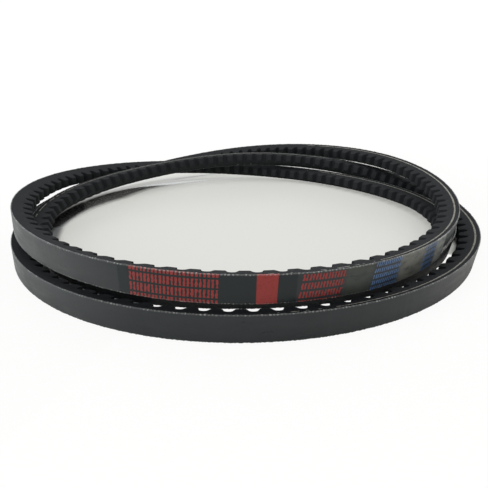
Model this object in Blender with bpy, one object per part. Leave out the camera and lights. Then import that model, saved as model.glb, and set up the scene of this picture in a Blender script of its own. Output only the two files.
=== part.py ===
"""Endless raw-edge cogged V-belt, lying coiled in three laps on a table.

The belt is a bonded laminate: a fabric on the back, rubber and gum layers, a pair of
tensile cords wound side by side through the whole belt, and a cogged inner body.
Every layer follows one route, the line of the cords. Metres, +Z up, origin under the
middle of the coil, with the printed stretch of the back facing -Y.
Run with: blender --background --python part.py
"""
import math
from collections import namedtuple

import bpy
import numpy as np

# the belt's section, measured from the back inwards
pitchLength = 3.350      # once round the belt, along the cords
topWidth = 0.0163        # across the back
beltDepth = 0.0130       # back to cog tips
flankAngle = math.radians(20)
fabricThick = 0.0005
overcordThick = 0.00075
upperGumThick = 0.0005
lowerGumThick = 0.0005
bondGap = 0.0003         # left between neighbouring layers

# the tensile cords
cordDiameter = 0.0013
turnsEach = 3            # turns of each of the two cords
edgeCover = 0.0001       # between the outermost turns and the flanks

# the moulded cogs
cogCount = 256
cogDepth = 0.0055
gapAtTips = 0.56         # share of a cog's pitch
gapAtRoots = 0.28        # share of a cog's pitch
cogsPerStation = 2

# the coil: how far neighbouring laps stay apart, one above the other
lapGap = 0.0005
laps = 3

# Handles of the route, eight to a lap, from the front round by the left, the back and
# the right. Each has steps outward from the mean circle in belt depths, the lift of
# the lower edge off the table in belt widths, and the outward lean in degrees.
lyingOuterLap = (
    (-0.60, 0.00, 1), (-0.05, 0.00, -2), (1.00, 0.00, -7), (2.75, 0.00, -6),
    (3.05, 1.55, -4), (1.25, 1.80, 0), (-0.90, 1.15, 5), (-1.25, 0.90, 6),
)
upperLap = (
    (-0.55, 1.25, 2), (-0.55, 1.40, -5), (0.75, 1.60, -6), (1.70, 0.90, -2),
    (0.90, 0.00, 2), (-0.70, 0.00, 5), (-0.20, 0.00, 6), (-1.80, 0.00, 10),
)
lyingInnerLap = (
    (-3.30, 0.00, 14), (-1.15, 0.00, 17), (0.00, 0.55, 19), (-0.25, 0.70, 19),
    (0.20, 1.30, 18), (0.95, 0.75, 14), (0.70, 0.00, 8), (-0.25, 0.00, 2),
)
routeSamples = 3600
lengthPasses = 4         # corrections of the mean circle, each far finer than the last

# colour, roughness
finishes = {
    "back_fabric": ((0.060, 0.064, 0.068, 1), 0.62),
    "overcord_rubber": ((0.032, 0.034, 0.037, 1), 0.55),
    "upper_adhesion_rubber": ((0.050, 0.050, 0.050, 1), 0.60),
    "tensile_cord_s_twist": ((0.420, 0.400, 0.350, 1), 0.85),
    "tensile_cord_z_twist": ((0.380, 0.365, 0.320, 1), 0.85),
    "lower_adhesion_rubber": ((0.050, 0.050, 0.050, 1), 0.60),
    "cogged_compression_rubber": ((0.024, 0.026, 0.029, 1), 0.50),
}

# depths below the back, each layer a bond gap below the one before
overcordTop = fabricThick + bondGap
upperGumTop = overcordTop + overcordThick + bondGap
cordTop = upperGumTop + upperGumThick + bondGap
cordDepth = cordTop + cordDiameter / 2
lowerGumTop = cordTop + cordDiameter + bondGap
bodyTop = lowerGumTop + lowerGumThick + bondGap
rootDepth = beltDepth - cogDepth

stationCount = cogCount // cogsPerStation

# places along the cords, the axes of the section there, and its lean
Route = namedtuple("Route", "places outward across lean")


def half_width(depth):
    """Half the belt's width at a depth below its back, where the flanks taper."""
    return topWidth / 2 - depth * math.tan(flankAngle)


# the turns of both cords share the width between the flanks, side by side
cordRoom = 2 * (half_width(cordDepth) - cordDiameter / 2 - edgeCover)
cordSpacing = cordRoom / (2 * turnsEach + 1)


def blended(handles, lap):
    """Uniform cubic B-spline through the handles' influence, at places given in laps."""
    count = len(handles)
    place = np.mod(lap, laps) / laps * count
    before = np.floor(place).astype(int)
    x = place - before
    weights = ((1 - x) ** 3, 3 * x**3 - 6 * x**2 + 4, -3 * x**3 + 3 * x**2 + 3 * x + 1, x**3)
    return sum(w / 6 * handles[(before + k - 1) % count] for k, w in enumerate(weights))


def winding(meanRadius):
    """Points along the cords and the lean there, once round the whole belt."""
    handles = np.array(lyingOuterLap + upperLap + lyingInnerLap)
    lap = np.linspace(0, laps, routeSamples, endpoint=False)
    radius = meanRadius + blended(handles[:, 0], lap) * beltDepth
    lift = blended(handles[:, 1], lap) * (topWidth + lapGap)
    lean = blended(np.radians(handles[:, 2]), lap)
    # the cords' height over the section's lowest corner, at the back or at the cog tips
    backCorner = cordDepth * np.sin(lean) + half_width(0) * np.cos(lean)
    tipCorner = (cordDepth - beltDepth) * np.sin(lean) + half_width(beltDepth) * np.cos(lean)
    height = lift + np.maximum(backCorner, tipCorner)
    turn = 2 * math.pi * lap
    return np.stack((-radius * np.sin(turn), -radius * np.cos(turn), height), 1), lean


def closed_length(points):
    """Running length at each point of a closed line, ending with the whole length."""
    steps = np.linalg.norm(np.roll(points, -1, 0) - points, axis=1)
    return np.concatenate(((0,), np.cumsum(steps)))


def evenly_spaced():
    """The winding that has the pitch length, read at evenly spaced stations."""
    meanRadius = pitchLength / laps / (2 * math.pi)
    for _ in range(lengthPasses):
        missing = pitchLength - closed_length(winding(meanRadius)[0])[-1]
        meanRadius += missing / laps / (2 * math.pi)
    points, lean = winding(meanRadius)
    along = closed_length(points)
    wanted = np.arange(stationCount) / stationCount * along[-1]
    columns = (*points.T, lean)
    x, y, z, lean = (np.interp(wanted, along, np.append(c, c[0])) for c in columns)
    return np.stack((x, y, z), 1), lean


def belt_route():
    """The stations with the axes of their sections, outward and across the belt."""
    places, lean = evenly_spaced()
    forward = np.roll(places, -1, 0) - np.roll(places, 1, 0)
    forward /= np.linalg.norm(forward, axis=1)[:, None]
    level = np.cross((0, 0, 1), forward)
    level /= np.linalg.norm(level, axis=1)[:, None]
    upright = np.cross(forward, level)
    cosine, sine = np.cos(lean)[:, None], np.sin(lean)[:, None]
    outward = cosine * level - sine * upright
    across = cosine * upright + sine * level
    return Route(places, outward, across, lean)


def section_points(route, depth, sideways):
    """The point of every station's section at a depth and a distance across the belt."""
    return route.places + (cordDepth - depth) * route.outward + sideways * route.across


def centred(route):
    """The route moved so that the coil stands on z = 0 under the middle of its box."""
    corners = [
        section_points(route, depth, side * half_width(depth))
        for depth in (0, beltDepth)
        for side in (-1, 1)
    ]
    low = np.min(corners, axis=(0, 1))
    high = np.max(corners, axis=(0, 1))
    middle = (low + high) / 2
    middle[2] = low[2]
    return route._replace(places=route.places - middle)


def material(name):
    colour, roughness = finishes[name]
    made = bpy.data.materials.new(name)
    made.use_nodes = True
    shader = made.node_tree.nodes["Principled BSDF"]
    shader.inputs["Base Color"].default_value = colour
    shader.inputs["Roughness"].default_value = roughness
    shader.inputs["Metallic"].default_value = 0
    made.diffuse_color = colour
    return made


def add_curve(name, points, lean, closed, collection):
    """A curve through these points, its section kept upright but for the lean."""
    curve = bpy.data.curves.new(name, "CURVE")
    curve.dimensions = "3D"
    curve.twist_mode = "Z_UP"
    spline = curve.splines.new("POLY")
    spline.points.add(len(points) - 1)
    spline.points.foreach_set("co", np.column_stack((points, np.ones(len(points)))).ravel())
    # a lean is counted outwards, and a curve's tilt inwards
    spline.points.foreach_set("tilt", -lean)
    spline.use_cyclic_u = closed
    piece = bpy.data.objects.new(name, curve)
    collection.objects.link(piece)
    return piece


def add_layer(name, route, top, bottom, collection, guides):
    """A flat layer: its tapered four-cornered section swept round the route."""
    # along the section's first axis the sweep runs inwards, along its second across
    corners = [
        (depth - cordDepth, side * half_width(depth), 0)
        for depth, side in ((top, 1), (bottom, 1), (bottom, -1), (top, -1))
    ]
    section = add_curve(name + "_section", corners, np.zeros(len(corners)), True, guides)
    section.hide_render = True
    section.display_type = "WIRE"
    layer = add_curve(name, route.places, route.lean, True, collection)
    layer.data.bevel_mode = "OBJECT"
    layer.data.bevel_object = section
    layer.data.materials.append(material(name))


def add_cord(name, route, side, collection):
    """One cord, drifting across the belt as it winds, with its ends cut at the flanks."""
    steps = np.arange(turnsEach * stationCount + 1)
    turn = steps / stationCount - turnsEach / 2
    drift = (2 * turn + side / 2) * cordSpacing
    here = steps % stationCount
    points = route.places[here] + drift[:, None] * route.across[here]
    cord = add_curve(name, points, route.lean[here], False, collection)
    cord.data.bevel_depth = cordDiameter / 2
    cord.data.bevel_resolution = 0
    cord.data.use_fill_caps = True
    cord.data.materials.append(material(name))


def cog_outline():
    """The inner edge along one station's share of cogs, as (share of the way, depth)."""
    gapEdges = (
        (gapAtRoots / 2, rootDepth),
        (gapAtTips / 2, beltDepth),
        (1 - gapAtTips / 2, beltDepth),
        (1 - gapAtRoots / 2, rootDepth),
    )
    return [
        ((cog + share) / cogsPerStation, depth)
        for cog in range(cogsPerStation)
        for share, depth in gapEdges
    ]


def add_cogged_body(name, route, collection):
    """The inner rubber: a loft between the unlike sections of its cogs and their gaps."""
    outline = cog_outline()
    rows = [section_points(route, bodyTop, side * half_width(bodyTop)) for side in (1, -1)]
    for share, depth in outline:
        for side in (1, -1):
            here = section_points(route, depth, side * half_width(depth))
            rows.append((1 - share) * here + share * np.roll(here, -1, 0))
    points = np.stack(rows, 1).reshape(-1, 3)
    faces = []
    for station in range(stationCount):
        here = len(rows) * station
        after = len(rows) * ((station + 1) % stationCount)
        upper = [here + 2 + 2 * k for k in range(len(outline))] + [after + 2]
        lower = [point + 1 for point in upper]
        faces.append((here, after, after + 1, here + 1))
        for k in range(len(outline)):
            faces.append((upper[k], lower[k], lower[k + 1], upper[k + 1]))
            # each flank fans out from the nearer station, and one face joins the fans
            isMiddle = 2 * (k + 1) == len(outline)
            hub = here if 2 * (k + 1) < len(outline) else after
            faces += [(hub, upper[k], upper[k + 1]), (hub + 1, lower[k + 1], lower[k])]
            if isMiddle:
                faces += [(here, upper[k], after), (here + 1, after + 1, lower[k])]
    mesh = bpy.data.meshes.new(name)
    mesh.from_pydata(points.tolist(), [], faces)
    mesh.materials.append(material(name))
    collection.objects.link(bpy.data.objects.new(name, mesh))


def build():
    for thing in list(bpy.data.objects):
        bpy.data.objects.remove(thing)
    belt = bpy.data.collections.new("v belt")
    guides = bpy.data.collections.new("sections")
    for collection in (belt, guides):
        bpy.context.scene.collection.children.link(collection)
    route = centred(belt_route())
    layers = {
        "back_fabric": (0, fabricThick),
        "overcord_rubber": (overcordTop, overcordThick),
        "upper_adhesion_rubber": (upperGumTop, upperGumThick),
        "lower_adhesion_rubber": (lowerGumTop, lowerGumThick),
    }
    for name, (top, thick) in layers.items():
        add_layer(name, route, top, top + thick, belt, guides)
    add_cord("tensile_cord_s_twist", route, -1, belt)
    add_cord("tensile_cord_z_twist", route, 1, belt)
    add_cogged_body("cogged_compression_rubber", route, belt)


build()
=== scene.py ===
import math
from collections import namedtuple

import bpy
import numpy as np
from mathutils import Matrix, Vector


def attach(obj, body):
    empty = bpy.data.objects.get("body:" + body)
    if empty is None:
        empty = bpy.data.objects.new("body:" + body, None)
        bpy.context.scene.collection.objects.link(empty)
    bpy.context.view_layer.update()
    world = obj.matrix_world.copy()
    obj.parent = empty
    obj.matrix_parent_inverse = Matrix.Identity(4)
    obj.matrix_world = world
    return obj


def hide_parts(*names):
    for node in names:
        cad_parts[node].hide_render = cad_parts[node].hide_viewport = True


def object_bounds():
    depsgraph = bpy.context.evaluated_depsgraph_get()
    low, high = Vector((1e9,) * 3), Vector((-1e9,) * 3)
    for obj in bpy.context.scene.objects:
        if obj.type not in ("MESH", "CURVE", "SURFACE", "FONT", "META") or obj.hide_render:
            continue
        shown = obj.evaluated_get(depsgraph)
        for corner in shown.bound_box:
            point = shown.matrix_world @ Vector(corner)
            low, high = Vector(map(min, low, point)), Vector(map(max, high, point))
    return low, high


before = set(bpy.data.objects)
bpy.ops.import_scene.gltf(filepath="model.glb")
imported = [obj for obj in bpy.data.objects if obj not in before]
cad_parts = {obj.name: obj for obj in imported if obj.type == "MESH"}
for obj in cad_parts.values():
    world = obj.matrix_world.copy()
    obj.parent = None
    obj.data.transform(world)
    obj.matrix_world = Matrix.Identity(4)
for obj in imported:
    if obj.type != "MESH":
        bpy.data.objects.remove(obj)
cadBox = [list(corner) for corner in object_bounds()]
print("frame loaded:", len(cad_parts), "nodes")

mm = 0.001


# the belt's section and the route of its cords

belt = {
    "pitchLength": 3350 * mm,
    "laps": 3,
    "topWidth": 16.3 * mm,
    "depth": 13.0 * mm,
    "flankAngle": math.radians(20),
    "cordDepth": 3.3 * mm,
    "lapGap": 0.5 * mm,
    "cadStations": 128,    # their corners' box places the coil
    "lengthSteps": 3600,
    "lengthPasses": 4,
}

# where one layer meets the next, measured inwards from the back
meets = {
    "overcord": 0.65 * mm,
    "upperGum": 1.70 * mm,
    "cords": 3.30 * mm,
    "body": 4.90 * mm,
}

# Eight handles to a lap, from the front round by the left, the back and the right:
# steps outward in belt depths, lift in belt widths, outward lean in degrees.
handles = np.array((
    # the outer lap that lies on the table, rising behind the others to the top
    (-0.60, 0.00, 1), (-0.05, 0.00, -2), (1.00, 0.00, -7), (2.75, 0.00, -6),
    (3.05, 1.55, -4), (1.25, 1.80, 0), (-0.90, 1.15, 5), (-1.25, 0.90, 6),
    # the upper lap with the marks, sinking at the back left to the table
    (-0.55, 1.25, 2), (-0.55, 1.40, -5), (0.75, 1.60, -6), (1.70, 0.90, -2),
    (0.90, 0.00, 2), (-0.70, 0.00, 5), (-0.20, 0.00, 6), (-1.80, 0.00, 10),
    # the inner lap, lifted over the one before it at the back
    (-3.30, 0.00, 14), (-1.15, 0.00, 17), (0.00, 0.55, 19), (-0.25, 0.70, 19),
    (0.20, 1.30, 18), (0.95, 0.75, 14), (0.70, 0.00, 8), (-0.25, 0.00, 2),
))

Route = namedtuple("Route", "along places outward across")


def halfWidth(depth):
    # the flanks taper straight from the back's width
    return belt["topWidth"] / 2 - depth * math.tan(belt["flankAngle"])


def blended(column, lap):
    # uniform cubic B-spline: four handles share each place, by cubics of the way past one
    place = np.mod(lap, belt["laps"]) / belt["laps"] * len(column)
    before = np.floor(place).astype(int)
    x = place - before
    shares = ((1 - x) ** 3, 3 * x**3 - 6 * x**2 + 4, -3 * x**3 + 3 * x**2 + 3 * x + 1, x**3)
    return sum(s / 6 * column[(before + k - 1) % len(column)] for k, s in enumerate(shares))


def winding(lap, meanRadius):
    # round the mean circle, stepped outward, and lifted by the section's lowest corner
    radius = meanRadius + blended(handles[:, 0], lap) * belt["depth"]
    lift = blended(handles[:, 1], lap) * (belt["topWidth"] + belt["lapGap"])
    lean = blended(np.radians(handles[:, 2]), lap)
    toTips = belt["cordDepth"] - belt["depth"]
    backCorner = belt["cordDepth"] * np.sin(lean) + halfWidth(0) * np.cos(lean)
    tipCorner = toTips * np.sin(lean) + halfWidth(belt["depth"]) * np.cos(lean)
    height = lift + np.maximum(backCorner, tipCorner)
    turn = 2 * math.pi * lap
    return np.stack((-radius * np.sin(turn), -radius * np.cos(turn), height), 1), lean


def runningLength(points):
    # straight steps from point to point and back to the first, added up one by one
    steps = np.linalg.norm(np.roll(points, -1, 0) - points, axis=1)
    return np.concatenate(((0,), np.cumsum(steps)))


def unit(vectors):
    return vectors / np.linalg.norm(vectors, axis=-1, keepdims=True)


def sectionPoints(route, depth, side):
    # at every place, points at depths below the back and distances across the belt
    inward = np.asarray(depth) - belt["cordDepth"]
    return (
        route.places[:, None]
        - inward[..., None] * route.outward[:, None]
        + np.asarray(side)[..., None] * route.across[:, None]
    )


def routeMaker():
    # widens the mean circle until the coil has the pitch length, and moves the coil
    # to where the CAD's box says; returns a function from distances to a Route
    laps = np.linspace(0, belt["laps"], belt["lengthSteps"], endpoint=False)
    meanRadius = belt["pitchLength"] / belt["laps"] / (2 * math.pi)
    for _ in range(belt["lengthPasses"]):
        missing = belt["pitchLength"] - runningLength(winding(laps, meanRadius)[0])[-1]
        meanRadius += missing / belt["laps"] / (2 * math.pi)
    ticks = runningLength(winding(laps, meanRadius)[0])
    lapTicks = np.append(laps, belt["laps"])
    shift = np.zeros(3)

    def routeAt(along):
        lap = np.interp(np.mod(along, ticks[-1]), ticks, lapTicks)
        places, lean = winding(lap, meanRadius)
        step = 1e-4    # laps either way, for the direction of travel
        forward = unit(winding(lap + step, meanRadius)[0] - winding(lap - step, meanRadius)[0])
        level = unit(np.cross((0, 0, 1), forward))
        upright = np.cross(forward, level)
        cosine, sine = np.cos(lean)[:, None], np.sin(lean)[:, None]
        outward = cosine * level - sine * upright
        across = cosine * upright + sine * level
        return Route(along, places + shift, outward, across)

    cadAlong = np.arange(belt["cadStations"]) / belt["cadStations"] * belt["pitchLength"]
    depths = np.array((0, 0, belt["depth"], belt["depth"]))
    corners = sectionPoints(routeAt(cadAlong), depths, halfWidth(depths) * (1, -1, 1, -1))
    low, high = corners.min((0, 1)), corners.max((0, 1))
    wanted = np.array(cadBox)
    shift[:] = (wanted[0] + wanted[1] - low - high) / 2
    return routeAt


routeAt = routeMaker()
print("route found")


# grids made into pieces

Grid = namedtuple("Grid", "points along v closed")
sharpFrom = math.radians(38)


def rounded(corners, radii, steps):
    # Each inner corner of a line becomes an arc that touches both of its sides, or stays
    # one point where its radius is 0. The arc's points turn evenly about its middle.
    out = []
    for k, radius in enumerate(radii, 1):
        here = corners[..., k, :]
        if radius == 0:
            out.append(here[..., None, :])
            continue
        before = unit(corners[..., k - 1, :] - here)
        after = unit(corners[..., k + 1, :] - here)
        half = np.arccos(np.clip((before * after).sum(-1, keepdims=True), -1, 1)) / 2
        middle = here + unit(before + after) * radius / np.sin(half)
        start = here + before * radius / np.tan(half) - middle
        end = here + after * radius / np.tan(half) - middle
        turn = math.pi - 2 * half
        for way in np.linspace(0, 1, steps):
            arm = (start * np.sin((1 - way) * turn) + end * np.sin(way * turn)) / np.sin(turn)
            out.append((middle + arm)[..., None, :])
    return np.concatenate(out, -2)


def aroundOnce(corners):
    # a closed outline as a line that starts and ends one corner over
    return np.concatenate((corners[..., -1:, :], corners, corners[..., :1, :]), -2)


def gridPiece(name, grids, slotName, finish, *nodes):
    # quads between neighbours on grids whose columns wrap round, and whose rows do where
    # the grid is closed; an open one gets a face over each end
    places, corners, sizes, uvs = [], [], [], []
    first = 0
    for grid in grids:
        rows, columns = grid.points.shape[:2]
        row = np.arange(rows if grid.closed else rows - 1)[:, None]
        column = np.arange(columns)[None]
        rowOn, columnOn = (row + 1) % rows, (column + 1) % columns
        u = np.append(grid.along, grid.along[0] + belt["pitchLength"])
        ring = (
            (row, row, column), (row, row, columnOn),
            (rowOn, row + 1, columnOn), (rowOn, row + 1, column),
        )
        quads = np.stack([r * columns + c for r, _, c in ring], -1)
        corners.append(quads.ravel() + first)
        sizes.append(np.full(quads.shape[0] * columns, 4))
        pairs = [np.stack(np.broadcast_arrays(u[ru], grid.v[c]), -1) for _, ru, c in ring]
        uvs.append(np.stack(pairs, -2).reshape(-1, 2))
        if not grid.closed:
            for end, order in ((0, -1), (rows - 1, 1)):
                corners.append(first + end * columns + np.arange(columns)[::order])
                sizes.append(np.array([columns]))
                uvs.append(np.stack((np.full(columns, u[end]), grid.v[::order]), -1))
        places.append(grid.points.reshape(-1, 3))
        first += rows * columns
    places, corners, sizes, uvs = (np.concatenate(x) for x in (places, corners, sizes, uvs))
    mesh = bpy.data.meshes.new(name)
    mesh.vertices.add(len(places))
    mesh.vertices.foreach_set("co", places.astype(np.float32).ravel())
    mesh.loops.add(len(corners))
    mesh.loops.foreach_set("vertex_index", corners.astype(np.int32))
    mesh.polygons.add(len(sizes))
    mesh.polygons.foreach_set("loop_start", (np.cumsum(sizes) - sizes).astype(np.int32))
    mesh.update(calc_edges=True)
    layer = mesh.uv_layers.new(name="beltMetres")
    layer.uv.foreach_set("vector", uvs.astype(np.float32).ravel())
    mesh.shade_smooth()
    mesh.set_sharp_from_angle(angle=sharpFrom)
    mesh.materials.append(finish)
    piece = bpy.data.objects.new(name, mesh)
    bpy.context.scene.collection.objects.link(piece)
    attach(piece, "root")
    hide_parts(*nodes)
    print("made", name, "faces:", len(sizes))


# shader maths as expressions

class Finish:
    def __init__(self, owner):
        # works on a material or on the world
        owner.use_nodes = True
        self.owner, self.tree = owner, owner.node_tree

    def add(self, kind, settings, inputs, output=0):
        node = self.tree.nodes.new(kind)
        for key, value in settings.items():
            setattr(node, key, value)
        for key, value in inputs.items():
            self.put(node.inputs[key], value)
        return Wire(self, node.outputs[output])

    def put(self, socket, value):
        if isinstance(value, Wire):
            self.tree.links.new(value.socket, socket)
        else:
            socket.default_value = value

    def surface(self, **inputs):
        shader = self.tree.nodes["Principled BSDF"]
        for key, value in inputs.items():
            self.put(shader.inputs[key.replace("_", " ")], value)
        return Wire(self, shader.outputs[0])

    def maths(self, operation, *values):
        return self.add("ShaderNodeMath", {"operation": operation}, dict(enumerate(values)))

    def object(self):
        return self.add("ShaderNodeTexCoord", {}, {}, "Object")

    def metres(self):
        # distance along the belt, and across it or around the section
        uv = self.add("ShaderNodeUVMap", {"uv_map": "beltMetres"}, {})
        return tuple(self.add("ShaderNodeSeparateXYZ", {}, {0: uv}, k) for k in ("X", "Y"))

    def point(self, x, y, z=0.0):
        return self.add("ShaderNodeCombineXYZ", {}, {0: x, 1: y, 2: z})

    def noise(self, where, size, detail, roughness=0.5):
        inputs = {"Vector": where, "Scale": 1 / size, "Detail": detail, "Roughness": roughness}
        return self.add("ShaderNodeTexNoise", {}, inputs, "Fac")

    def step(self, value, low, high):
        # 0 below low, 1 above high, smooth between
        inputs = {"Value": value, "From Min": low, "From Max": high}
        return self.add("ShaderNodeMapRange", {"interpolation_type": "SMOOTHSTEP"}, inputs)

    def band(self, value, low, high, soft):
        # 1 between low and high
        rises = self.step(value, low - soft, low + soft)
        return rises * (1 - self.step(value, high - soft, high + soft))

    def stripes(self, value, pitch, width, soft):
        # 1 on stripes of this width about every multiple of the pitch
        away = self.maths("PINGPONG", value, pitch / 2)
        return 1 - self.step(away, width / 2 - soft, width / 2 + soft)

    def mix(self, share, one, other):
        node = self.tree.nodes.new("ShaderNodeMix")
        node.data_type = "RGBA"
        inputs = {"Factor": share, "A": one, "B": other}
        for socket in node.inputs:
            if socket.name in inputs and socket.enabled:
                self.put(socket, inputs[socket.name])
        return Wire(self, next(socket for socket in node.outputs if socket.enabled))

    def bump(self, height, distance, strength=1.0):
        inputs = {"Height": height, "Distance": distance, "Strength": strength}
        return self.add("ShaderNodeBump", {}, inputs)


class Wire:
    def __init__(self, finish, socket):
        self.finish, self.socket = finish, socket

    def __add__(self, other):
        return self.finish.maths("ADD", self, other)

    __radd__ = __add__

    def __sub__(self, other):
        return self.finish.maths("SUBTRACT", self, other)

    def __rsub__(self, other):
        return self.finish.maths("SUBTRACT", other, self)

    def __mul__(self, other):
        return self.finish.maths("MULTIPLY", self, other)

    __rmul__ = __mul__

    def __truediv__(self, other):
        return self.finish.maths("DIVIDE", self, other)


def newFinish(name):
    return Finish(bpy.data.materials.new(name))


def colour(*rgb):
    # linear values
    return (*rgb, 1)


# back fabric, with its printed marks

fabric = {
    "rows": 4608,
    "edgeRadius": 0.35 * mm,
    "edgeSteps": 4,
    "fray": 0.35 * mm,
    "frayPower": 1.5,          # most threads stay short
    "fraySeed": 5,
    "dark": colour(0.009, 0.013, 0.017),
    "light": colour(0.040, 0.044, 0.049),
    "film": colour(0.006, 0.011, 0.013),
    "threadEnds": colour(0.50, 0.50, 0.48),
    "roughness": 0.36,
    "smearRoughness": 0.40,
    "cloudRoughness": 0.30,
    "specular": 0.42,
    "cloudSize": 30 * mm,
    "smearSize": 5 * mm,
    "smearStretch": 5,
    "blotchSize": 4 * mm,
    "blotchStretch": 2,
    "threadPitch": 0.55 * mm,
    "weaveShare": 0.6,
    "relief": 0.03 * mm,
    "reliefStrength": 0.5,
}

# cut threads, which show along both edges as rows of pale ends
cutThreads = {
    "start": 7.5 * mm,         # from the middle of the back
    "soft": 0.15 * mm,
    "pitch": 1.9 * mm,
    "width": 0.4,              # share of the pitch
    "endSoft": 0.1 * mm,
    "jitter": 2 * mm,
    "jitterSize": 2.5 * mm,
    "patchSize": 7 * mm,
    "patchFrom": 0.40,
    "patchTo": 0.62,
    "least": 0.09,
    "most": 0.50,
}

# Where the upper lap passes the front. Distances of the marks run from here to the left.
frontAlong = belt["pitchLength"] / belt["laps"]

inks = {
    "red": colour(0.36, 0.034, 0.030),
    "blue": colour(0.100, 0.205, 0.43),
    "white": colour(0.92, 0.92, 0.90),
    "worn": colour(0.170, 0.168, 0.150),
    "scuffed": colour(0.30, 0.31, 0.30),
    "rubbed": colour(0.055, 0.062, 0.053),
}

# how the inks wear off in specks, how unevenly the strokes stand, and how softly the
# marks' edges end, in millimetres
marks = {
    "inkKept": 0.80,           # share that stays in the worn specks
    "inkWorn": 0.20,
    "speckSize": 1.3 * mm,
    "speckFrom": 0.36,
    "speckTo": 0.52,
    "barEdge": 0.15,
    "wornEdge": 2.0,
    "wornFrom": 0.18,
    "wornTo": 0.60,
    "blockEdge": 0.1,
    "strokeEdge": 0.12,
    "unevenness": 0.55,        # share of the strokes' pitch
    "unevenSize": 0.9,         # share of the strokes' pitch
}

# full-width patches in millimetres: a bar, films under the marks, and rubbed stretches
bar = {"ink": "red", "start": 26.2, "end": 36.3}
films = (
    {"start": 17.0, "end": 104.5, "soft": 0.5, "share": 0.9},
    {"start": -128.0, "end": -95.0, "soft": 3.5, "share": 0.32},
)
worn = (
    {"ink": "rubbed", "start": -25.0, "end": -8.0},
    {"ink": "worn", "start": -68.0, "end": -44.0},
    {"ink": "scuffed", "start": -94.0, "end": -80.0},
)

# rows of upright strokes in millimetres, some narrower than others; a row's middle is
# counted up from the belt's
strokeRows = (
    {"ink": "red", "start": 54.0, "end": 98.2, "middle": 2.9, "rowPitch": 5.6,
     "height": 4.5, "pitch": 1.95, "stroke": 1.05, "slant": 0.05},
    {"ink": "red", "start": -7.6, "end": 15.3, "middle": 0.6, "rowPitch": 4.8,
     "height": 3.5, "pitch": 1.6, "stroke": 0.9, "slant": 0.12},
    {"ink": "blue", "start": -44.5, "end": -25.5, "middle": -0.3, "rowPitch": 3.45,
     "height": 2.4, "pitch": 1.45, "stroke": 0.72, "slant": 0.1},
    {"ink": "blue", "start": -79.0, "end": -66.0, "middle": -0.3, "rowPitch": 3.45,
     "height": 2.4, "pitch": 1.45, "stroke": 0.72, "slant": 0.1},
    {"ink": "white", "start": -124.0, "end": -94.0, "middle": -3.8, "rowPitch": 20.0,
     "height": 3.8, "pitch": 4.2, "stroke": 2.3, "slant": 0.0},
)


def fabricFinish():
    f = newFinish("wovenBack")
    u, v = f.metres()
    there = f.object()
    left = (u - frontAlong) / mm
    up = v / mm
    clouds = f.noise(there, fabric["cloudSize"], 3)
    smeared = f.point(u / fabric["smearStretch"], v)
    smears = f.noise(smeared, fabric["smearSize"], 4, 0.6)
    blotched = f.point(u / fabric["blotchStretch"], v)
    blotches = f.noise(blotched, fabric["blotchSize"], 4, 0.65)
    specks = f.step(f.noise(there, marks["speckSize"], 3), marks["speckFrom"], marks["speckTo"])
    wear = marks["inkKept"] + marks["inkWorn"] * specks
    base = f.mix(clouds * 0.5 + smears * 0.5, fabric["dark"], fabric["light"])
    for film in films:
        share = f.band(left, film["start"], film["end"], film["soft"]) * film["share"]
        base = f.mix(share, base, fabric["film"])
    for patch in worn:
        share = f.band(left, patch["start"], patch["end"], marks["wornEdge"])
        share = share * f.step(blotches, marks["wornFrom"], marks["wornTo"])
        base = f.mix(share, base, inks[patch["ink"]])
    share = f.band(left, bar["start"], bar["end"], marks["barEdge"]) * wear
    base = f.mix(share, base, inks[bar["ink"]])
    for rows in strokeRows:
        place = left + up * rows["slant"]
        above = up - rows["middle"]
        row = f.stripes(above, rows["rowPitch"], rows["height"], marks["strokeEdge"])
        varied = f.noise(f.point(place, above), rows["pitch"] * marks["unevenSize"], 0) - 0.5
        away = f.maths("PINGPONG", place, rows["pitch"] / 2)
        away = away + varied * rows["pitch"] * marks["unevenness"]
        half, edge = rows["stroke"] / 2, marks["strokeEdge"]
        stroke = 1 - f.step(away, half - edge, half + edge)
        block = f.band(place, rows["start"], rows["end"], marks["blockEdge"])
        base = f.mix(row * stroke * block * wear, base, inks[rows["ink"]])
    outer = f.maths("ABSOLUTE", v)
    atEdge = f.step(outer, cutThreads["start"], cutThreads["start"] + cutThreads["soft"])
    jitter = f.noise(f.point(u, v), cutThreads["jitterSize"], 1) * cutThreads["jitter"]
    width = cutThreads["pitch"] * cutThreads["width"]
    bead = f.stripes(u + jitter, cutThreads["pitch"], width, cutThreads["endSoft"])
    patches = f.noise(f.point(u, 0.0), cutThreads["patchSize"], 3, 0.7)
    frayed = f.step(patches, cutThreads["patchFrom"], cutThreads["patchTo"])
    share = atEdge * (cutThreads["least"] + cutThreads["most"] * bead * frayed)
    base = f.mix(share, base, fabric["threadEnds"])
    threads = math.pi / fabric["threadPitch"]
    weave = f.maths("SINE", (u + v) * threads) * f.maths("SINE", (u - v) * threads)
    relief = weave * fabric["weaveShare"] + smears + blotches
    f.surface(
        Base_Color=base,
        Roughness=fabric["roughness"]
        + (smears - 0.5) * fabric["smearRoughness"]
        + (clouds - 0.5) * fabric["cloudRoughness"],
        Specular_IOR_Level=fabric["specular"],
        Normal=f.bump(relief, fabric["relief"], fabric["reliefStrength"]),
    )
    return f.owner


def evenAlong(count):
    return np.arange(count) / count * belt["pitchLength"]


def layerGrid(top, bottom, rows, radii=(0, 0, 0, 0), steps=2):
    # a flat layer's tapered section, with rounded corners where it has radii
    route = routeAt(evenAlong(rows))
    depth = np.array((top, bottom, bottom, top))
    side = halfWidth(depth) * (1, 1, -1, -1)
    outline = rounded(aroundOnce(np.stack((depth, side), -1)), radii, steps)
    return Grid(sectionPoints(route, *outline.T), route.along, outline[:, 1], True)


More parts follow.
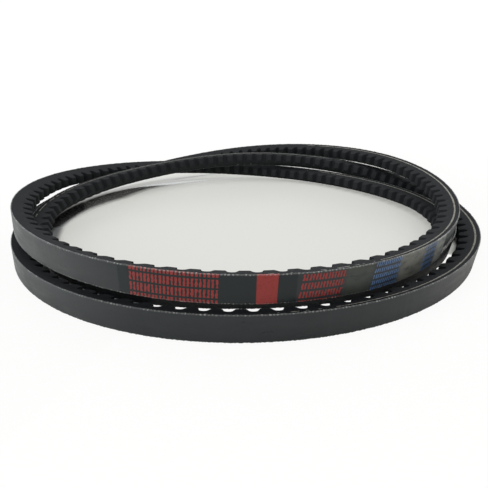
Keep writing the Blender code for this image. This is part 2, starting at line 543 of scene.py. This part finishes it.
def makeFabric():
    # the cut edge frays: threads stand proud of it by uneven lengths
    edge = fabric["edgeRadius"]
    radii = (edge, 0, 0, edge)
    grid = layerGrid(0, meets["overcord"], fabric["rows"], radii, fabric["edgeSteps"])
    across = routeAt(grid.along).across[:, None]
    rng = np.random.default_rng(fabric["fraySeed"])
    proud = fabric["fray"] * rng.uniform(0, 1, (2, fabric["rows"], 1)) ** fabric["frayPower"]
    atEdge = np.abs(grid.v) > belt["topWidth"] / 2 - edge
    out = np.where(grid.v > 0, proud[0], -proud[1]) * atEdge
    grid = grid._replace(points=grid.points + out[..., None] * across)
    gridPiece("wovenBack", [grid], "back_fabric", fabricFinish(), "back_fabric")


# the flat rubber layers

rubber = {
    "rows": 1536,
    "dark": colour(0.020, 0.022, 0.024),
    "light": colour(0.043, 0.044, 0.046),
    # painted shade: the rubber is drawn nearly black at the front of the lying lap, where the
    # upper lap shades it
    "paintedShade": colour(0.004, 0.005, 0.007),
    "paintedShadeReach": (65 * mm, 110 * mm),   # either way from the front of the lying lap
    "paintedShadeShare": 0.75,
    "roughness": 0.80,
    "grainRoughness": 0.2,
    "specular": 0.04,
    "cloudSize": 18 * mm,
    "grainSize": 0.5 * mm,
    "groundSize": 0.35 * mm,
    "groundStretch": 12,
    "fibreSize": 0.9 * mm,
    "fibresFrom": 0.66,
    "fibresTo": 0.74,
    "fibreShare": 0.35,
    "cloudShare": 0.4,
    "groundShare": 0.3,
    "groundRelief": 0.6,
    "relief": 0.08 * mm,
    "reliefStrength": 0.5,
}


def groundFinish(name):
    # ground rubber: cloudy, with short pale fibres and fine grinding marks along the belt, and a
    # painted shade at the front of the lying lap
    f = newFinish(name)
    u, v = f.metres()
    there = f.object()
    clouds = f.noise(there, rubber["cloudSize"], 4, 0.6)
    grain = f.noise(there, rubber["grainSize"], 2)
    ground = f.noise(f.point(u / rubber["groundStretch"], v), rubber["groundSize"], 2)
    specks = f.noise(there, rubber["fibreSize"], 1)
    fibres = f.step(specks, rubber["fibresFrom"], rubber["fibresTo"])
    # painted shade: the lying lap is drawn nearly black at the front, standing in for the deep
    # shade under the upper lap
    away = f.maths("PINGPONG", u, belt["pitchLength"] / 2)
    paintedShade = (1 - f.step(away, *rubber["paintedShadeReach"])) * rubber["paintedShadeShare"]
    tone = fibres * rubber["fibreShare"] + clouds * rubber["cloudShare"]
    tone = tone + ground * rubber["groundShare"]
    base = f.mix(tone, rubber["dark"], rubber["light"])
    relief = grain + clouds + ground * rubber["groundRelief"]
    f.surface(
        Base_Color=f.mix(paintedShade, base, rubber["paintedShade"]),
        Roughness=rubber["roughness"] + (grain - 0.5) * rubber["grainRoughness"],
        Specular_IOR_Level=rubber["specular"],
        Normal=f.bump(relief, rubber["relief"], rubber["reliefStrength"]),
    )
    return f.owner


def makeLayers():
    ground = groundFinish("groundRubber")
    gum = groundFinish("gum")
    layers = (
        ("overcordPly", "overcord", "upperGum", "overcord_rubber", ground, "overcord_rubber"),
        ("upperGum", "upperGum", "cords", "adhesion_rubber", gum, "upper_adhesion_rubber"),
        ("lowerGum", "cords", "body", "adhesion_rubber", gum, "lower_adhesion_rubber"),
    )
    for name, top, bottom, slotName, finish, node in layers:
        grid = layerGrid(meets[top], meets[bottom], rubber["rows"])
        gridPiece(name, [grid], slotName, finish, node)


# tensile cords, and their cut fibres along the flanks

cords = {
    "diameter": 1.3 * mm,
    "edgeCover": 0.1 * mm,
    "turnsEach": 3,
    "sides": 12,
    "rowsPerLap": 1536,
    "strands": 3,
    "strandDepth": 0.10,       # share of the radius
    "layLength": 9 * mm,
    "cutWidth": 1.0 * mm,
    "cutProud": 0.06 * mm,
    "cutSunk": -0.05 * mm,
    "cutRoot": -0.3 * mm,
    "cutNarrowest": 0.55,      # share of the width where it doesn't show
    "cutWidens": 0.45,
    "raggedEdge": 0.08 * mm,
    "raggedShown": 0.12,
    "raggedSeed": 7,
    "lowerCutShown": 0.35,     # share of the upper flank's
    "pale": colour(0.305, 0.293, 0.258),
    "dull": colour(0.10, 0.096, 0.086),
    "paleFrom": 0.76,
    "paleTo": 1.12,
    "strandSize": 0.35 * mm,
    "strandStretch": (0.35, 2),
    "speckSize": 1.1 * mm,
    "roughness": 0.85,
    "specular": 0.3,
    "relief": 0.05 * mm,
}

# How clearly the cut shows at each of the route's handles, lap by lap, from 0 to 1. A
# number past those steers the blend between its neighbours.
cutShown = np.array((
    0.28, 0.0, 0.0, 0.0, -0.1, 0.50, 1.1, 0.85,
    0.40, 0.10, 0.0, 0.0, -0.2, 0.30, 0.90, 0.60,
    0.50, 0.50, 0.40, 0.80, 1.3, -0.1, 1.1, 0.78,
))


def cordGrid(side):
    # A tube that drifts across as it winds. Its strands stand out as a lobed radius,
    # 1 - depth/2 * (1 - cos(strands * angle + twist)), and twist one way on each cord.
    perTurn = cords["rowsPerLap"]
    along = np.arange(cords["turnsEach"] * perTurn + 1) / perTurn * belt["pitchLength"]
    route = routeAt(along)
    room = 2 * (halfWidth(belt["cordDepth"]) - cords["diameter"] / 2 - cords["edgeCover"])
    spacing = room / (2 * cords["turnsEach"] + 1)
    turn = along / belt["pitchLength"] - cords["turnsEach"] / 2
    drift = (2 * turn + side / 2) * spacing
    angle = np.arange(cords["sides"]) / cords["sides"] * 2 * math.pi
    twist = side * along[:, None] / cords["layLength"] * 2 * math.pi
    lobes = 1 - cords["strandDepth"] / 2 * (1 - np.cos(cords["strands"] * angle + twist))
    radius = lobes * cords["diameter"] / 2
    points = sectionPoints(
        route,
        belt["cordDepth"] - radius * np.cos(angle),
        drift[:, None] + radius * np.sin(angle),
    )
    return Grid(points, along, angle * cords["diameter"] / 2, False)


def cutGrid(side):
    # Where grinding has cut the outermost turn: a strip proud of the flank, with ragged
    # edges. It narrows and sinks under the surface where it doesn't show.
    along = evenAlong(2 * cords["rowsPerLap"])
    route = routeAt(along)
    rng = np.random.default_rng(cords["raggedSeed"] + side)
    ragged = rng.normal(0, 1, (len(along), 3))
    ragged = (ragged + np.roll(ragged, 1, 0) + np.roll(ragged, -1, 0)) / 3
    clear = blended(cutShown, along / frontAlong) * (1 if side > 0 else cords["lowerCutShown"])
    shown = np.clip(clear + cords["raggedShown"] * ragged[:, 0], 0, 1)[:, None]
    proud = cords["cutSunk"] + (cords["cutProud"] - cords["cutSunk"]) * shown
    root = np.full_like(proud, cords["cutRoot"])
    reach = cords["cutWidth"] / 2 * (cords["cutNarrowest"] + cords["cutWidens"] * shown)
    reach = reach + cords["raggedEdge"] * ragged[:, 1:2]
    depth = belt["cordDepth"] + np.concatenate((-reach, reach, reach, -reach), 1)
    out = np.concatenate((proud, proud, root, root), 1)
    if side < 0:
        depth, out = depth[:, ::-1], out[:, ::-1]
    lean = belt["flankAngle"]
    points = sectionPoints(
        route,
        depth + out * math.sin(lean),
        side * (halfWidth(depth) + out * math.cos(lean)),
    )
    return Grid(points, along, np.array((-1, 1, 1, -1)) * cords["cutWidth"] / 2, True)


def cordFinish():
    f = newFinish("polyesterCord")
    u, v = f.metres()
    there = f.object()
    alongScale, acrossScale = cords["strandStretch"]
    strands = f.noise(f.point(u * alongScale, v * acrossScale), cords["strandSize"], 2)
    specks = f.noise(there, cords["speckSize"], 2)
    share = f.step(strands + specks, cords["paleFrom"], cords["paleTo"])
    f.surface(
        Base_Color=f.mix(share, cords["dull"], cords["pale"]),
        Roughness=cords["roughness"],
        Specular_IOR_Level=cords["specular"],
        Normal=f.bump(strands, cords["relief"]),
    )
    return f.owner


def makeCords():
    finish = cordFinish()
    twists = (
        ("cordSTwist", -1, "tensile_cord_s_twist"),
        ("cordZTwist", 1, "tensile_cord_z_twist"),
    )
    for name, side, node in twists:
        gridPiece(name, [cordGrid(side), cutGrid(side)], "tensile_cord", finish, node)


# the cogged body

cog = {
    "count": 256,
    "depth": 5.5 * mm,
    "gapAtTips": 0.56,         # share of the pitch
    "gapAtRoots": 0.28,        # share of the pitch
    "rootRadius": 2.3 * mm,
    "tipRadius": 0.9 * mm,
    "edgeRadius": 0.3 * mm,
    "outlineSteps": 5,
    "edgeSteps": 4,
}


def cogOutline():
    # one pitch of the inner edge: round-bottomed gap, wall, tip with rounded corners
    pitch = belt["pitchLength"] / cog["count"]
    root, tip = belt["depth"] - cog["depth"], belt["depth"]
    rootHalf, tipHalf = cog["gapAtRoots"] * pitch / 2, cog["gapAtTips"] * pitch / 2
    line = np.array((
        (-tipHalf, tip), (-rootHalf, root), (rootHalf, root), (tipHalf, tip),
        (pitch - tipHalf, tip), (pitch - rootHalf, root),
    ))
    radii = (cog["rootRadius"], cog["rootRadius"], cog["tipRadius"], cog["tipRadius"])
    return rounded(line, radii, cog["outlineSteps"]).T


def makeBody():
    # a closed section at each point of the cogs' edge line: flat at the gum, as deep as
    # the line is there, with its inner corners rounded
    offset, depth = cogOutline()
    pitch = belt["pitchLength"] / cog["count"]
    along = (np.arange(cog["count"])[:, None] * pitch + offset).ravel()
    depth = np.tile(depth, cog["count"])
    route = routeAt(along)
    top = np.full(len(depth), meets["body"])
    depths = np.stack((top, depth, depth, top), -1)
    sides = halfWidth(depths) * (1, 1, -1, -1)
    edge = cog["edgeRadius"]
    section = aroundOnce(np.stack((depths, sides), -1))
    outline = rounded(section, (0, edge, edge, 0), cog["edgeSteps"])
    points = sectionPoints(route, outline[..., 0], outline[..., 1])
    grid = Grid(points, along, outline[0, :, 1], True)
    finish = groundFinish("coggedRubber")
    gridPiece("cogBody", [grid], "compression_rubber", finish, "cogged_compression_rubber")


makeFabric()
makeLayers()
makeCords()
makeBody()


# floor, light and camera

studio = {
    "floor": colour(0.72, 0.72, 0.685),
    "shaded": colour(0.03, 0.032, 0.045),
    "shade": 0.75,
    "glossRoughness": 0.09,
    "floorRoughness": 0.32,
    "floorSpecular": 0.5,
    "gloss": 0.65,
    "evenTone": 0.45,          # share of the clear middle that shadows leave alone
    "plainLight": 1.04,
    "horizonLight": 0.20,
    "zenithLight": 1.00,
    "backdropLight": 1.02,
    "cool": colour(0.93, 0.97, 1.0),
    "warm": colour(1.0, 0.98, 0.93),
    "warms": (-0.6, 0.9),      # from the left to the right of the sky
}

# the floor is a disc, wide enough to fill any view
floorMesh = {
    "spokes": 384,
    "ringStep": 2.5 * mm,
    "ringsTo": 0.38,
    "farRings": (0.45, 0.55, 0.8, 1.5, 3.5),
}

# how softly the zones begin and end, and how a zone changes that lies far out, in metres
zoneEdges = {
    "gloss": (12 * mm, 6 * mm),
    "shadeStart": (4 * mm, 30 * mm),     # near and far
    "shadeEnd": (8 * mm, 48 * mm),       # near and far
    "farFrom": 0.2,
    "farOver": 0.05,
    "farPales": 0.35,
    "plain": 8 * mm,
    "plainFirst": 0.86,
    "plainGains": 0.14,
    "plainOver": 0.3,
    "spreadsFrom": 0.25,
    "spreads": 0.7,
}

# The floor's zones in millimetres from the middle, at degrees round the coil: glossy from
# and to, shaded from and to, and where plain white begins. A zone that would end before it
# begins is missing there. White begins inside the front laps, so that it shows between
# them, under the lying lap at the left, and far out at the back, where the laps are lifted.
floorZones = np.array((
    (-106, 199, 149, 158, 187, 187), (-105, 199, 149, 199, 149, 156),
    (-28, 199, 149, 199, 149, 162), (-27, 199, 149, 180, 188, 190),
    (-20, 199, 149, 181, 188, 190), (-16, 199, 149, 174, 188, 194),
    (0, 199, 149, 182, 188, 200), (20, 299, 149, 215, 218, 228),
    (33, 299, 149, 220, 250, 265), (48, 299, 149, 222, 300, 330),
    (66, 299, 149, 224, 325, 380), (80, 299, 149, 230, 285, 380),
    (93, 168, 170, 240, 250, 360), (100, 164, 168, 199, 199, 330),
    (112, 160, 168, 189, 193, 270), (122, 158, 171, 184, 186, 230),
    (139, 160, 182, 184, 149, 212), (154, 152, 186, 180, 176, 204),
    (162, 156, 186, 192, 186, 202), (171, 160, 182, 166, 187, 200),
    (180, 162, 182, 164, 186, 188), (190, 166, 182, 164, 186, 187),
    (196, 199, 149, 162, 186, 187),
))


def makeFloor():
    # a disc of spokes and rings; along each spoke a zone rises from 0 to 1 and falls again
    angles = np.arange(floorMesh["spokes"]) / floorMesh["spokes"] * 2 * math.pi
    degrees, *ends = floorZones.T
    zones = [np.interp(np.degrees(angles), degrees, end, period=360) * mm for end in ends]
    glossFrom, glossTo, shadeFrom, shadeTo, white = zones
    near = np.arange(floorMesh["ringStep"], floorMesh["ringsTo"], floorMesh["ringStep"])
    reach = np.append(near, floorMesh["farRings"])[:, None]

    def rises(start, soft):
        # softer where it starts far out
        soft = soft + zoneEdges["spreads"] * np.maximum(start - zoneEdges["spreadsFrom"], 0)
        return np.clip((reach - start) / soft + 0.5, 0, 1)

    softIn, softOut = zoneEdges["gloss"]
    gloss = rises(glossFrom, softIn) * (1 - rises(glossTo, softOut))
    # a shade that reaches far out behind the laps is soft and weaker
    far = np.clip((shadeTo - zoneEdges["farFrom"]) / zoneEdges["farOver"], 0, 1)
    softIn, softOut = (
        nearBy + (farOut - nearBy) * far
        for nearBy, farOut in (zoneEdges["shadeStart"], zoneEdges["shadeEnd"])
    )
    shade = rises(shadeFrom, softIn) * (1 - rises(shadeTo, softOut))
    shade *= 1 - zoneEdges["farPales"] * far
    outside = np.clip((reach - white) / zoneEdges["plainOver"], 0, 1)
    plain = rises(white, zoneEdges["plain"])
    plain = plain * (zoneEdges["plainFirst"] + zoneEdges["plainGains"] * outside)
    places = np.stack((reach * np.cos(angles), reach * np.sin(angles), 0 * reach * angles), -1)
    spoke = np.arange(len(angles))
    spokeOn = (spoke + 1) % len(angles)
    ring = np.arange(len(reach) - 1)[:, None] * len(angles)
    outer = ring + len(angles)
    quads = np.stack((ring + spoke, outer + spoke, outer + spokeOn, ring + spokeOn), -1)
    mesh = bpy.data.meshes.new("floor")
    faces = quads.reshape(-1, 4).tolist() + [spoke.tolist()]
    mesh.from_pydata(places.reshape(-1, 3).tolist(), [], faces)
    for name, values in (("plain", plain), ("glossy", gloss), ("shaded", shade)):
        layer = mesh.attributes.new(name, "FLOAT", "POINT")
        layer.data.foreach_set("value", values.astype(np.float32).ravel())
    floor = bpy.data.objects.new("floor", mesh)
    bpy.context.scene.collection.objects.link(floor)
    f = newFinish("floor")
    plain, glossy, shaded = (
        f.add("ShaderNodeAttribute", {"attribute_name": name}, {}, "Fac")
        for name in ("plain", "glossy", "shaded")
    )
    smoother = studio["glossRoughness"] - studio["floorRoughness"]
    shader = f.surface(
        Base_Color=f.mix(shaded * studio["shade"], studio["floor"], studio["shaded"]),
        Metallic=glossy * studio["gloss"],
        Roughness=studio["floorRoughness"] + glossy * smoother,
        Specular_IOR_Level=studio["floorSpecular"],
    )
    camera = f.add("ShaderNodeLightPath", {}, {}, "Is Camera Ray")
    even = plain + (1 - plain) * (1 - glossy) * (1 - shaded) * studio["evenTone"]
    tone = f.mix(plain, studio["floor"], colour(1, 1, 1))
    inputs = {"Color": tone, "Strength": studio["plainLight"]}
    flat = f.add("ShaderNodeEmission", {}, inputs)
    mixed = f.add("ShaderNodeMixShader", {}, {0: even * camera, 1: shader, 2: flat})
    f.put(f.tree.nodes["Material Output"].inputs["Surface"], mixed)
    mesh.materials.append(f.owner)


def makeWorld():
    # brighter overhead, by the square of the height, a little warmer from the right, and
    # white where it is looked at or mirrored
    world = bpy.data.worlds.new("studio")
    bpy.context.scene.world = world
    f = Finish(world)
    towards = f.add("ShaderNodeTexCoord", {}, {}, "Generated")
    right, height = (f.add("ShaderNodeSeparateXYZ", {}, {0: towards}, k) for k in ("X", "Z"))
    rise = f.maths("MAXIMUM", height, 0.0)
    brighter = studio["zenithLight"] - studio["horizonLight"]
    light = rise * rise * brighter + studio["horizonLight"]
    camera, glossy = (
        f.add("ShaderNodeLightPath", {}, {}, way) for way in ("Is Camera Ray", "Is Glossy Ray")
    )
    background = f.tree.nodes["Background"]
    tint = f.mix(f.step(right, *studio["warms"]), studio["cool"], studio["warm"])
    f.put(background.inputs["Color"], f.mix(camera, tint, colour(1, 1, 1)))
    seen = f.maths("MAXIMUM", camera, glossy)
    f.put(background.inputs["Strength"], light + seen * (studio["backdropLight"] - light))


lamps = (
    {"name": "overhead", "place": (0.1, 0.1, 1.4), "aim": (0, 0, 0), "size": 1.6, "power": 10},
    {"name": "leftWindow", "place": (-1.3, -0.5, 0.7), "aim": (0, 0, 0), "size": 1.0, "power": 6},
)


def makeLamps():
    for lamp in lamps:
        light = bpy.data.lights.new(lamp["name"], "AREA")
        light.size = lamp["size"]
        light.energy = lamp["power"]
        holder = bpy.data.objects.new(lamp["name"], light)
        bpy.context.scene.collection.objects.link(holder)
        place, aim = (np.array(lamp[k], float) for k in ("place", "aim"))
        back = unit(place - aim)
        right = unit(np.cross((0, 0, 1), back))
        turned = np.eye(4)
        turned[:3] = np.stack((right, np.cross(back, right), back, place), 1)
        holder.matrix_world = Matrix(turned.tolist())


view = {
    "place": (21.96 * mm, -350.40 * mm, 118.51 * mm),
    "down": math.radians(22.627),
    "left": math.radians(3.413),
    "roll": math.radians(-0.763),
    "lens": 28.485,
    "sensor": 36.0,
    "nearest": 1 * mm,
}


def makeCamera():
    data = bpy.data.cameras.new("camera")
    data.lens = view["lens"]
    data.sensor_width = view["sensor"]
    data.clip_start = view["nearest"]
    camera = bpy.data.objects.new("camera", data)
    bpy.context.scene.collection.objects.link(camera)
    turn = (
        Matrix.Rotation(view["left"], 4, "Z")
        @ Matrix.Rotation(math.pi / 2 - view["down"], 4, "X")
        @ Matrix.Rotation(view["roll"], 4, "Z")
    )
    camera.matrix_world = Matrix.Translation(view["place"]) @ turn
    bpy.context.scene.camera = camera


makeFloor()
makeWorld()
makeLamps()
makeCamera()
bpy.context.scene.view_settings.view_transform = "Standard"
print("studio ready")
